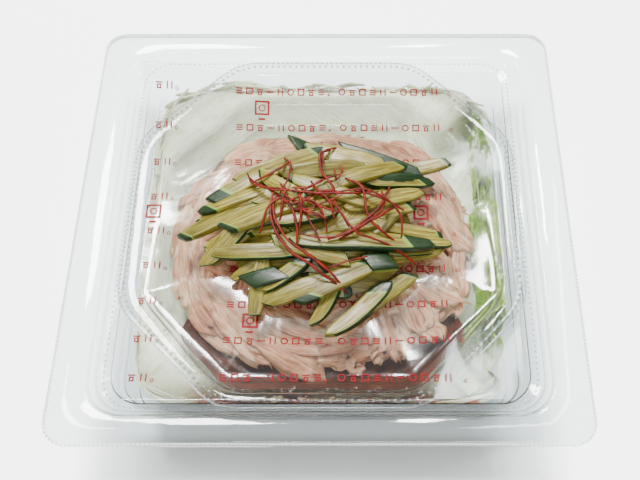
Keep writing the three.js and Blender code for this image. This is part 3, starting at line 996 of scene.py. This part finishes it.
def makeCucumberMaterial():
    look = MaterialMaker("cucumber")
    streak = look.noise(look.grain((0.08, 1.1, 1)), 1.0, 4.0, 0.6, 0.2)
    cloud = look.noise(look.place(), 260, 3.0)
    flesh = look.ramp(streak, (0.30, cucumberLook["fleshCore"]), (0.48, cucumberLook["flesh"]),
                      (0.66, cucumberLook["fleshLight"]))
    flesh = look.shade(flesh, cloud, (0.35, (0.80, 0.84, 0.70)), (0.6, (1, 1, 1)))
    flesh = look.shade(flesh, look.attribute("tone"), (0.0, (0.55, 0.56, 0.40)), (0.8, (1, 1, 1)))
    skin = look.ramp(streak, (0.35, cucumberLook["skin"]), (0.7, cucumberLook["skinLight"]))
    # a thin lighter green band lies between the skin and the flesh
    skinPart = look.attribute("skin")
    band = look.ramp(skinPart, (0.20, (0, 0, 0)), (0.42, (1, 1, 1)))
    rind = look.ramp(skinPart, (0.50, (0, 0, 0)), (0.62, (1, 1, 1)))
    colour = look.mix(rind, look.mix(band, flesh, cucumberLook["band"]), skin)
    normal = look.bump(cloud, 0.25, 0.0005, look.bump(streak, 0.35, 0.0006))
    return look.finish(look.principled(colour, cucumberLook["surface"], Normal=normal))


def makeStickTemplate():
    # a bar from x = 0 to 1 with slightly rounded long edges, cut into short lengths
    part = bmesh.new()
    bmesh.ops.create_cube(part, size=2)
    longEdges = [edge for edge in part.edges if abs(edge.verts[0].co.x - edge.verts[1].co.x) > 1]
    bmesh.ops.bevel(part, geom=longEdges, offset=0.28, offset_type="OFFSET", affect="EDGES", segments=2,
                    profile=0.5, material=-1)
    for cut in (-0.94, -0.82, -0.76, -0.5, -0.17, 0.17, 0.5, 0.76, 0.82, 0.94):
        bmesh.ops.bisect_plane(part, geom=part.verts[:] + part.edges[:] + part.faces[:], plane_co=(cut, 0, 0),
                               plane_no=(1, 0, 0))
    bmesh.ops.recalc_face_normals(part, faces=part.faces)
    addLayers(part, "tone", "skin")

    def spot(loop):
        x, y, z = loop.vert.co
        if abs(loop.face.normal.x) >= 0.5:
            return 0.1 + y * 0.05, z
        return (x + 1) / 2, y if abs(loop.face.normal.z) > 0.5 else z + 2.3

    mapGrain(part, spot)
    for vert in part.verts:
        vert.co.x = (vert.co.x + 1) / 2
    return part


def addStick(bm, template, draw, x, y, angle, length, width, thick, lift, skinSide, cutAngle):
    part = template.copy()
    turn = math.radians(angle)
    direction = polar(turn, 1, 0)
    ends = []
    for share in (-0.46, 0.0, 0.46):
        spot = Vector((x, y, 0)) + direction * (share * length)
        onHeap = heapShare(spot.x, spot.y) < 1
        ground = heapTop(spot.x, spot.y) if onHeap else filmHeight(spot.x, spot.y) + 1.2
        spot.z = ground - 2.4 + lift
        ends.append(spot)
    # a stick is nearly straight, so its middle rests on the heap and its ends follow a little
    for end in (ends[0], ends[2]):
        follows = mix(ends[1].z, end.z, cucumberLook["follow"])
        end.z = max(follows, filmHeight(end.x, end.y) + thick / 2 + 0.5)
    path = curvePath(ends)
    roll = math.radians(draw.uniform(-22, 22))
    shear = math.tan(math.radians(cutAngle))
    lens = draw.uniform(0.12, 0.30)
    tone = draw.uniform(0.15, 1.0)
    grain = part.loops.layers.uv["grain"]
    toneLayer = part.verts.layers.float["tone"]
    skinLayer = part.verts.layers.float["skin"]
    tip = draw.uniform(0.35, 0.7) if skinSide != 2 else 0.0
    skinStart = draw.choice((-1.0, 0.02, 0.06, 0.15))
    skinEnd = draw.choice((2.0, 0.98, 0.93, 0.83))
    for vert in part.verts:
        along, across, upward = vert.co
        middleness = 1 - (abs(along - 0.5) * 2) ** 2
        wide = width / 2 * (1 - tip * (1 - middleness) ** 2.2)
        high = thick / 2 * (1 - 0.25 * (1 - middleness))
        bulge = lens * width * middleness * 0.5 * (skinSide if abs(skinSide) < 2 else 0)
        side, rise = Matrix.Rotation(roll, 2) @ Vector((across * wide + bulge, upward * high))
        place, forward, aside, over = pathFrame(path, along)
        slide = across * wide * shear
        atEnd = 1.0 if along < skinStart or along > skinEnd else 0.0
        nearSkin = 1.0 if skinSide and across * skinSide > 0.85 else 0.0
        if skinSide == 2:
            nearSkin = 1.0 if upward > 0.6 else 0.0
        vert[skinLayer] = max(atEnd, nearSkin)
        vert[toneLayer] = tone
        vert.co = place + forward * slide + aside * side + over * rise
    mapSize = Vector((length, width / 2))
    mapGrain(part, lambda loop: loop[grain].uv * mapSize + tone * Vector((53, 17)))
    joinPart(bm, part)


def addCucumberCore(bm):
    def place(share, angle, isTop):
        x = heapSize["x"] + 0.70 * share * heapSize["radiusX"] * math.cos(angle)
        y = heapSize["y"] + 0.74 * share * heapSize["radiusY"] * math.sin(angle)
        low = filmHeight(x, y) + 0.5
        if not isTop:
            return x, y, low
        lump = wander(x / 5, y / 3, 1.4)
        top = low + (heapTop(x, y) - low - 4.6) * (1 - share ** 4) + 0.8 * lump * (1 - share)
        return x, y, max(top, low + 0.1)

    # the core shows only in the gaps between the sticks and takes a low, darker tone there: painted shade
    addBlob(bm, (64, 32), place, lambda loop: loop.vert.co.xy, 0.1)


def buildCucumber():
    draw = random.Random(cucumberLook["seed"])
    bm = bmesh.new()
    addCucumberCore(bm)
    template = makeStickTemplate()
    for _ in range(cucumberLook["extra"]):
        angle = draw.uniform(0, math.tau)
        share = draw.uniform(0, 1) ** 0.6 * 0.72
        x = heapSize["x"] + heapSize["radiusX"] * share * math.cos(angle)
        y = heapSize["y"] + heapSize["radiusY"] * share * math.sin(angle)
        turn = draw.gauss(12, 24)
        size = drawEach(draw, cucumberLook["extraSpans"])
        addStick(bm, template, draw, x, y, turn, *size, draw.choice((0, 0, 1, -1)), draw.uniform(20, 50))
    for stick in cucumberSticks:
        addStick(bm, template, draw, *stick)
    template.free()
    makePiece("cucumber", bm, [makeCucumberMaterial()], ["cucumber_sticks"])


buildCucumber()


chiliLook = {
    "deep": (0.045, 0.002, 0.001),
    "bright": (0.21, 0.009, 0.002),
    "thick": 0.72,
    "detail": (30, 6),
    "seed": 31,
    "extra": 11,
}

# threads on top, as x, y and height over the cucumber
chiliThreads = [
    [(-28, 14, 0.5), (-24, 6, 1.5), (-12, 2, 3), (2, -2, 2.5), (10, -12, 1.5)],
    [(-27, 11, 0.5), (-20, 4, 2), (-8, 1, 3.5), (6, 0, 3), (20, 3, 1)],
    [(-16, 22, 0.5), (-12, 15, 2.5), (-12, 7, 3.5), (-16, 0, 1)],
    [(3, 24, 0.5), (-1, 20, 2.5), (0, 9, 4), (4, 2, 2.5), (2, 0, 1)],
    [(12, 26, 0.5), (5, 25, 2), (0, 20, 3), (0, 12, 3.5)],
    [(-17, 4, 1.5), (-18, -8, 3), (-13, -18, 3), (-2, -26, 2), (9, -33, 0.5)],
    [(-16, 2, 1), (-17, -7, 2.5), (-12, -16, 3), (0, -25, 2), (8, -31, 0.5)],
    [(-12, 1, 2), (-19, -4, 2.5), (-22, -13, 1)],
    [(2, 0, 2.5), (16, 2, 3.5), (27, -5, 3), (28, -17, 0.5)],
    [(4, -2, 2), (12, -14, 3.5), (24, -17, 2), (38, -24, 0.2)],
    [(-8, -14, 1), (4, -16, 3), (16, -10, 3.5), (22, -2, 2), (21, 4, 0.5)],
    [(2, -16, 1), (12, -12, 3), (20, -4, 3), (24, 6, 1)],
    [(8, 8, 1), (14, 3, 3.5), (17, -9, 3), (26, -15, 1)],
    [(10, 3, 1), (20, 0, 3), (29, -3, 0.8)],
    [(-10, 4, 1.5), (-7, -3, 3), (-8, -12, 0.8)],
    [(0, -26, 0.5), (8, -24, 2.5), (16, -21, 0.8)],
    [(-25, 8, 0.8), (-16, 12, 2.8), (-12, 17, 1)],
    [(6, -16, 1), (18, -9, 3.2), (26, -2, 1)],
    [(4, 12, 1), (5, 6, 3), (7, 10, 3.5), (6, 14, 1)],
    [(-15, 6, 1), (-13, 2, 3), (-14, -3, 2), (-15, -9, 0.8)],
]


def makeChiliMaterial():
    look = MaterialMaker("dried_chilli")
    patch = look.noise(look.place(), 380, 3.0)
    colour = look.ramp(patch, (0.32, chiliLook["deep"]), (0.66, chiliLook["bright"]))
    normal = look.bump(look.noise(look.place(), 2600, 2.0), 0.5, 0.0002)
    return look.finish(look.principled(colour, {"Roughness": 0.5, "Specular IOR Level": 0.25}, Normal=normal))


def addThread(bm, template, draw, places):
    # one thread running over the cucumber
    part = template.copy()
    points = []
    for x, y, lift in places:
        points.append((x, y, heapTop(x, y) + 0.4 + lift * 0.8))
    path = curvePath(points)
    length = sum(math.dist(a, b) for a, b in zip(points, points[1:]))
    thick = chiliLook["thick"] * draw.uniform(0.75, 1.25)
    seed = draw.uniform(0, 500)

    def section(along, around):
        taper = 1 - 0.45 * (abs(along - 0.5) * 2) ** 6
        swell = 1 + 0.25 * wander(along * length / 4, seed, 0)
        size = thick / 2 * taper * swell
        sway = 0.5 * wander(along * length / 6, seed + 9, 0)
        return 0.0, math.cos(around) * size * 1.25 + sway, math.sin(around) * size * 0.8

    sweepStrip(part, path, section, draw.uniform(0, 1), (length, 1))
    joinPart(bm, part)


def buildChili():
    draw = random.Random(chiliLook["seed"])
    bm = bmesh.new()
    template = makeStripTemplate(*chiliLook["detail"])
    for places in chiliThreads:
        addThread(bm, template, draw, places)
    for _ in range(chiliLook["extra"]):
        # a loose knot left of the middle
        x = draw.gauss(-9, 6)
        y = draw.gauss(0, 3)
        turn = draw.gauss(-0.3, 0.5)
        places = []
        for step in range(4):
            places.append((x, y, draw.uniform(0.8, 3.2)))
            turn += draw.uniform(-0.6, 0.6)
            x += 6 * math.cos(turn)
            y += 6 * math.sin(turn)
        addThread(bm, template, draw, places)
    template.free()
    makePiece("chilli", bm, [makeChiliMaterial()], ["chili_threads"])


buildChili()
print("toppings made")


saladLook = {
    "pale": (0.80, 0.80, 0.66),
    "white": (0.90, 0.89, 0.80),
    "greenish": (0.56, 0.66, 0.33),
    "leaf": (0.16, 0.31, 0.015),
    "leafDark": (0.07, 0.17, 0.008),
    "leafLight": (0.34, 0.49, 0.06),
    "carrot": (0.60, 0.12, 0.012),
    "carrotDark": (0.36, 0.05, 0.006),
    # one colour for a sauce stain and painted shade at the near wall
    "sauceStainAndShade": (0.30, 0.19, 0.10),
    "surface": soft(0.2, 0.0015, 0.002, 0.0006),
    "coreSteps": 150,
    # height and share of the width of each ring of the core, from the foot up
    "levels": [(1.75, 0.985), (3.5, 1.0), (8, 1.0), (13, 1.0), (18, 1.0), (23, 1.0), (27, 1.0), (30, 1.0)],
    "ribbons": 900,
    "ribbonDetail": (9, 5),
    # spans of length, width, thickness, depth behind the wall, and the bend
    "ribbonSpans": [(12, 34), (1.6, 4.2), (0.5, 0.9), (0.3, 2.2)],
    "ribbonBend": 5,
    "carrotShreds": 170,
    "carrotDetail": (8, 5),
    "carrotSpans": [(10, 24), (1.2, 2.4), (1.0, 1.8), (0.4, 2.4)],
    "carrotBend": 4,
    # direction and spread of each tuft, in degrees round the box
    "carrotTufts": [(-97.5, 3.0), (-59.5, 1.5), (-97.5, 3.5), (-112, 2.0), (-84, 9.0)],
    # leaves: first and last direction, depth behind the wall, height of the top
    "leaves": [
        (-50, -18, 2.2, 33), (-30, 8, 1.4, 35), (-6, 30, 2.0, 34), (12, 44, 1.3, 32), (-20, 20, 3.6, 33),
        (-44, -2, 4.4, 31), (20, 40, 4.0, 30), (-75, -64, 0.6, 27),
    ],
    # and three more tucked against the outside of the tray
    "tucked": [(-53, -31, 1.0, 34), (-33, -12, 1.5, 36), (-15, 13, 0.9, 37)],
    "seed": 77,
}


def wallHalf(z):
    # the salad fills the box right up to its stepped wall
    if z < 16.7:
        return boxSize["saladHalf"] + boxSize["saladLean"] * z
    return boxSize["saladHalf"] + 2.4 + boxSize["saladLean"] * (z - 17)


def roundSquare(angle, half, power=9):
    c = abs(math.cos(angle))
    s = abs(math.sin(angle))
    return half / (c ** power + s ** power) ** (1 / power)


def octagonReach(angle, half):
    c = abs(math.cos(angle))
    s = abs(math.sin(angle))
    return 1 / max(c / half, s / half, (c + s) / (2 * half - trayLeg(half)))


def inSpan(angle, low, high):
    degrees = math.degrees(math.atan2(math.sin(angle), math.cos(angle)))
    return min(smoothStep(degrees, low - 5, low + 5), smoothStep(-degrees, -high - 5, -high + 5))


def saladCrest(angle):
    tall = 30.5 + 1.5 * noise.noise(polar(angle, 3, 0.7))
    low = max(inSpan(angle, -52, 44), 0.25 * inSpan(angle, -124, -56))
    return mix(tall, 15.5, low)


def makeLeafyMaterial(title, roughness, *stops, veins=False):
    look = MaterialMaker(title)
    place = look.place()
    streak = look.noise(look.grain((0.12, 0.9, 1)), 1.0, 4.0, 0.6, 0.25)
    colour = look.ramp(streak, *[(share, saladLook[name]) for share, name in stops])
    colour = look.shade(colour, look.noise(place, 150, 3.0), (0.35, (0.84, 0.86, 0.78)), (0.62, (1, 1, 1)))
    colour = look.shade(colour, look.attribute("tone"), (0.0, (0.78, 0.80, 0.70)), (1.0, (1, 1, 1)))
    # a sauce stain and painted shade darken the salad's top just inside the near wall
    spot = [look.node("ShaderNodeSeparateXYZ", axis, {"Vector": place}) for axis in "XYZ"]
    stainAndShadeMask = look.span(spot[1], -0.056, -0.063)
    stainAndShadeMask = look.math("MULTIPLY", stainAndShadeMask, look.span(spot[2], 0.013, 0.020))
    stainAndShadeMask = look.math("MULTIPLY", stainAndShadeMask, look.span(look.math("ABSOLUTE", spot[0]), 0.056, 0.040))
    colour = look.shade(colour, stainAndShadeMask, (0.0, (1, 1, 1)), (1.0, saladLook["sauceStainAndShade"]))
    normal = look.bump(streak, 0.5, 0.0007)
    if veins:
        cells = look.node("ShaderNodeTexVoronoi", "Distance", {"Vector": place, "Scale": 190},
                          feature="DISTANCE_TO_EDGE")
        vein = look.ramp(cells, (0.0, (1, 1, 1)), (0.12, (0, 0, 0)))
        colour = look.mix(vein, colour, saladLook["leafLight"])
        normal = look.bump(vein, 0.3, 0.0005, normal)
    values = {"Roughness": roughness, **saladLook["surface"]}
    return look.finish(look.principled(colour, values, Normal=normal))


def addSaladCore(bm):
    part = bmesh.new()
    steps = saladLook["coreSteps"]
    rings = []
    for z, share in saladLook["levels"]:
        ring = []
        for step in range(steps):
            angle = math.tau * step / steps
            height = min(z, saladCrest(angle))
            lump = 0.8 * noise.noise(polar(angle, 14, z / 4))
            out = roundSquare(angle, (wallHalf(height) - 1.4) * share) + lump
            ring.append(polar(angle, out, height))
        rings.append(ring)
    top = []
    pocket = []
    for step in range(steps):
        angle = math.tau * step / steps
        crest = saladCrest(angle)
        inner = octagonReach(angle, trayHalfAt(min(max(crest, 19.5), 34)) + 0.8)
        top.append(polar(angle, inner, crest))
        low = octagonReach(angle, 56.3)
        pocket.append(polar(angle, low, min(16.4, crest)))
    rings += [top, pocket]
    capRings(part, *loftRings(part, rings))
    _, (toneLayer,) = addLayers(part, "tone")
    for vert in part.verts:
        vert[toneLayer] = 0.2

    def spot(loop):
        x, y, z = loop.vert.co
        return x + y, z * 2 + x - y

    mapGrain(part, spot)
    joinPart(bm, part)


def addRibbon(bm, template, draw, angle, z, spans, bend):
    # a shred pressed against the box wall
    length, width, thick, depth = drawEach(draw, spans)
    tilt = draw.gauss(0, 0.5)
    curl = draw.uniform(-bend, bend)
    part = template.copy()
    points = []
    for share in (-0.5, -0.17, 0.17, 0.5):
        height = min(max(z + share * length * math.sin(tilt) + curl * (share * share * 4 - 0.4), 2.4), 33.0)
        reach = wallHalf(height) - depth - 0.5 * abs(share)
        turn = angle + share * length * math.cos(tilt) / reach
        out = roundSquare(turn, reach)
        points.append(polar(turn, out, height))
    path = curvePath(points)
    lean = draw.uniform(-0.6, 0.6)

    def section(along, around):
        taper = 1 - 0.5 * (abs(along - 0.5) * 2) ** 4
        side = math.cos(around) * thick / 2
        rise = math.sin(around) * width / 2 * taper
        return rise * lean, side, rise

    sweepStrip(part, path, section, draw.uniform(0, 1), (length, width * 2))
    joinPart(bm, part)


def buildCabbage():
    draw = random.Random(saladLook["seed"])
    bm = bmesh.new()
    addSaladCore(bm)
    template = makeStripTemplate(*saladLook["ribbonDetail"])
    for _ in range(saladLook["ribbons"]):
        angle = draw.uniform(0, math.tau)
        z = draw.uniform(2.5, saladCrest(angle))
        addRibbon(bm, template, draw, angle, z, saladLook["ribbonSpans"], saladLook["ribbonBend"])
    template.free()
    stops = [(0.30, "greenish"), (0.46, "pale"), (0.64, "white")]
    material = makeLeafyMaterial("shredded_cabbage", 0.42, *stops)
    makePiece("cabbage", bm, [material], ["cabbage_bed"])


def buildCarrot():
    draw = random.Random(saladLook["seed"] + 1)
    bm = bmesh.new()
    template = makeStripTemplate(*saladLook["carrotDetail"])
    spans = saladLook["carrotSpans"]
    for _ in range(saladLook["carrotShreds"]):
        middle, spread = draw.choice(saladLook["carrotTufts"])
        degrees = min(max(draw.gauss(middle, spread), -122), -57)
        z = draw.uniform(3, 28)
        addRibbon(bm, template, draw, math.radians(degrees), z, spans, saladLook["carrotBend"])
    template.free()
    material = makeLeafyMaterial("carrot", 0.4, (0.35, "carrotDark"), (0.6, "carrot"))
    makePiece("carrot", bm, [material], ["carrot_shreds"])


def addLeaf(bm, draw, low, high, depth, top, hugs):
    # a ruffled sheet standing along the box wall, or hugging the tray
    part = bmesh.new()
    bmesh.ops.create_grid(part, x_segments=70, y_segments=26, size=1)
    _, (toneLayer,) = addLayers(part, "tone")
    seed = draw.uniform(0, 90)
    tone = draw.uniform(0.2, 1)
    spots = {}
    for vert in part.verts:
        across = (vert.co.x + 1) / 2
        upward = (vert.co.y + 1) / 2
        angle = math.radians(mix(low, high, across))
        edge = 1 - 0.16 * abs(wander(across * 7, seed, 0)) - 0.22 * (2 * across - 1) ** 4
        z = mix(17.5 if hugs else 2.6, top, upward * edge)
        ruffle = 1.5 * upward ** 1.3 * wander(across * 12, upward * 3.5, seed + 2)
        ruffle += 0.7 * upward * wander(across * 27, upward * 7, seed + 8)
        fold = wander(across * 5, upward * 3, seed + 4)
        if hugs:
            out = octagonReach(angle, trayHalfAt(z) + depth + 0.5 * (1 + fold)) + 0.4 * ruffle
        else:
            out = roundSquare(angle, wallHalf(z) - depth - 0.9 * (1 + ruffle) - 0.8 * (1 + fold))
        spots[vert] = (across, upward)
        vert.co = polar(angle, out, z + 0.5 * fold)
        if hugs:
            vert.co = nearSlope(vert.co, vert.co.z)
        vert[toneLayer] = tone
    mapGrain(part, lambda loop: (spots[loop.vert][1] * 40, spots[loop.vert][0] * 60 + tone * 31))
    bmesh.ops.recalc_face_normals(part, faces=part.faces)
    bmesh.ops.solidify(part, geom=part.faces[:], thickness=0.35)
    joinPart(bm, part)


def buildLettuce():
    draw = random.Random(saladLook["seed"] + 2)
    bm = bmesh.new()
    for kind in ("leaves", "tucked"):
        for leaf in saladLook[kind]:
            addLeaf(bm, draw, *leaf, hugs=kind == "tucked")
    stops = [(0.30, "leafDark"), (0.50, "leaf"), (0.68, "leafLight")]
    material = makeLeafyMaterial("lettuce_leaf", 0.33, *stops, veins=True)
    makePiece("lettuce_leaves", bm, [material], ["lettuce"])


buildCabbage()
buildCarrot()
buildLettuce()
print("salad made")


dropLook = {
    "count": 420,
    "seed": 5,
    "size": (0.22, 0.6),
    "across": (-66, 66),
    "along": (-68, 10),
    "height": 40.25,
    "colour": (0.96, 0.98, 0.98),
    "surface": {"Transmission Weight": 1, "Roughness": 0.02, "IOR": 1.33},
}


def makeWaterMaterial():
    look = MaterialMaker("water_drops")
    normal = look.bump(look.noise(look.place(), 1500, 2.0), 0.1, 0.0002)
    return look.finish(look.principled(dropLook["colour"], dropLook["surface"], Normal=normal))


def buildDrops():
    # condensation on the tray's rim
    draw = random.Random(dropLook["seed"])
    template = bmesh.new()
    bmesh.ops.create_icosphere(template, subdivisions=1, radius=1)
    bm = bmesh.new()
    made = 0
    while made < dropLook["count"]:
        x = draw.uniform(*dropLook["across"])
        y = draw.uniform(*dropLook["along"])
        depth = insideOctagon(x, y, traySize["mouthHalf"])
        if not -5.5 < depth < -0.6 or draw.random() > 0.35 + 0.65 * smoothStep(abs(x), 20, 45):
            continue
        size = draw.uniform(*dropLook["size"]) ** 1.2
        part = template.copy()
        bmesh.ops.scale(part, vec=(size, size * draw.uniform(0.8, 1.2), size * 0.55), verts=part.verts)
        bmesh.ops.translate(part, vec=(x, y, dropLook["height"] - size * 0.4), verts=part.verts)
        joinPart(bm, part)
        made += 1
    template.free()
    makePiece("water_drops", bm, [makeWaterMaterial()])


buildDrops()


studio = {
    "world": (0.62, 0.68, 0.71),
    "worldStrength": 0.30,
    "floorGlow": 3.0,
    # where the floor's glow fades out round the box: a painted shadow, set by this span and shift
    "paintedShadowSpan": (0.077, 0.096),
    "paintedShadowShift": 0.007,        # how far its middle lies towards the near side
    "floorColour": (0.88, 0.88, 0.88),
    # colour of a painted shadow just in front of the box
    "floorPaintedShadow": (0.40, 0.41, 0.40),
    "lights": [
        # name, place, size across and along, watts, colour
        ("left_window", (-0.21, 0.43, 0.85), (0.15, 0.24), 15, (1.0, 0.985, 0.96)),
        ("right_window", (0.11, 0.47, 0.85), (0.05, 0.14), 4, (1.0, 0.985, 0.96)),
        ("front_softbox", (0.05, -0.50, 0.80), (0.40, 0.25), 5, (1.0, 0.985, 0.96)),
        ("left_strip", (-0.37, 0.17, 0.85), (0.06, 0.14), 1.6, (0.96, 0.99, 1.0)),
        ("right_strip", (0.305, 0.34, 0.85), (0.05, 0.45), 2.2, (0.96, 0.99, 1.0)),
    ],
    "cameraFromFlange": (0.0102, -0.1531, 0.2690),
    "cameraPitch": 27.758,
    "lens": 47.715,
    "shift": -0.0486,
}


def buildFloor():
    bm = bmesh.new()
    bmesh.ops.create_grid(bm, x_segments=2, y_segments=2, size=3)
    mesh = bpy.data.meshes.new("floor")
    bm.to_mesh(mesh)
    bm.free()
    look = MaterialMaker("pale_floor")
    place = look.place()
    x, y = [look.node("ShaderNodeSeparateXYZ", axis, {"Vector": place}) for axis in "XY"]
    # the floor glows softly, but the glow fades out where the box stands on it: a painted shadow
    aside = look.math("ABSOLUTE", x)
    ahead = look.math("ABSOLUTE", look.math("ADD", y, studio["paintedShadowShift"]))
    glowWithPaintedShadow = look.span(look.math("MAXIMUM", aside, ahead), *studio["paintedShadowSpan"], studio["floorGlow"])
    # and a painted shadow darkens its colour just in front of the box, under its near rim
    band = look.math("MULTIPLY", look.span(y, -0.068, -0.074), look.span(aside, 0.086, 0.058))
    band = look.math("MULTIPLY", band, look.span(y, -0.096, -0.086))
    colourWithPaintedShadow = look.ramp(band, (0.0, studio["floorColour"]), (1.0, studio["floorPaintedShadow"]))
    values = {"Roughness": 0.8, "Emission Color": (1, 1, 1), "Emission Strength": glowWithPaintedShadow}
    mesh.materials.append(look.finish(look.principled(colourWithPaintedShadow, values)))
    floor = bpy.data.objects.new("floor", mesh)
    bpy.context.scene.collection.objects.link(floor)


def buildLights():
    world = bpy.data.worlds.new("studio")
    world.use_nodes = True
    background = world.node_tree.nodes["Background"]
    background.inputs["Color"].default_value = (*studio["world"], 1)
    background.inputs["Strength"].default_value = studio["worldStrength"]
    bpy.context.scene.world = world
    for name, place, size, power, colour in studio["lights"]:
        lamp = bpy.data.lights.new(name, "AREA")
        lamp.shape = "RECTANGLE"
        lamp.size, lamp.size_y = size
        lamp.energy = power
        lamp.color = colour
        light = bpy.data.objects.new(name, lamp)
        light.location = place
        light.rotation_euler = (-Vector(place)).to_track_quat("-Z", "Y").to_euler()
        bpy.context.scene.collection.objects.link(light)


def buildCamera():
    low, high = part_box("base_container")
    flange = Vector(((low.x + high.x) / 2, (low.y + high.y) / 2, high.z))
    lens = bpy.data.cameras.new("camera")
    lens.lens = studio["lens"]
    lens.sensor_width = 36
    lens.shift_x = studio["shift"]
    camera = bpy.data.objects.new("camera", lens)
    camera.location = flange + Vector(studio["cameraFromFlange"])
    camera.rotation_euler = (math.radians(studio["cameraPitch"]), 0, 0)
    bpy.context.scene.collection.objects.link(camera)
    bpy.context.scene.camera = camera


buildFloor()
buildLights()
buildCamera()
bpy.data.meshes.remove(scratch)
print("studio made")
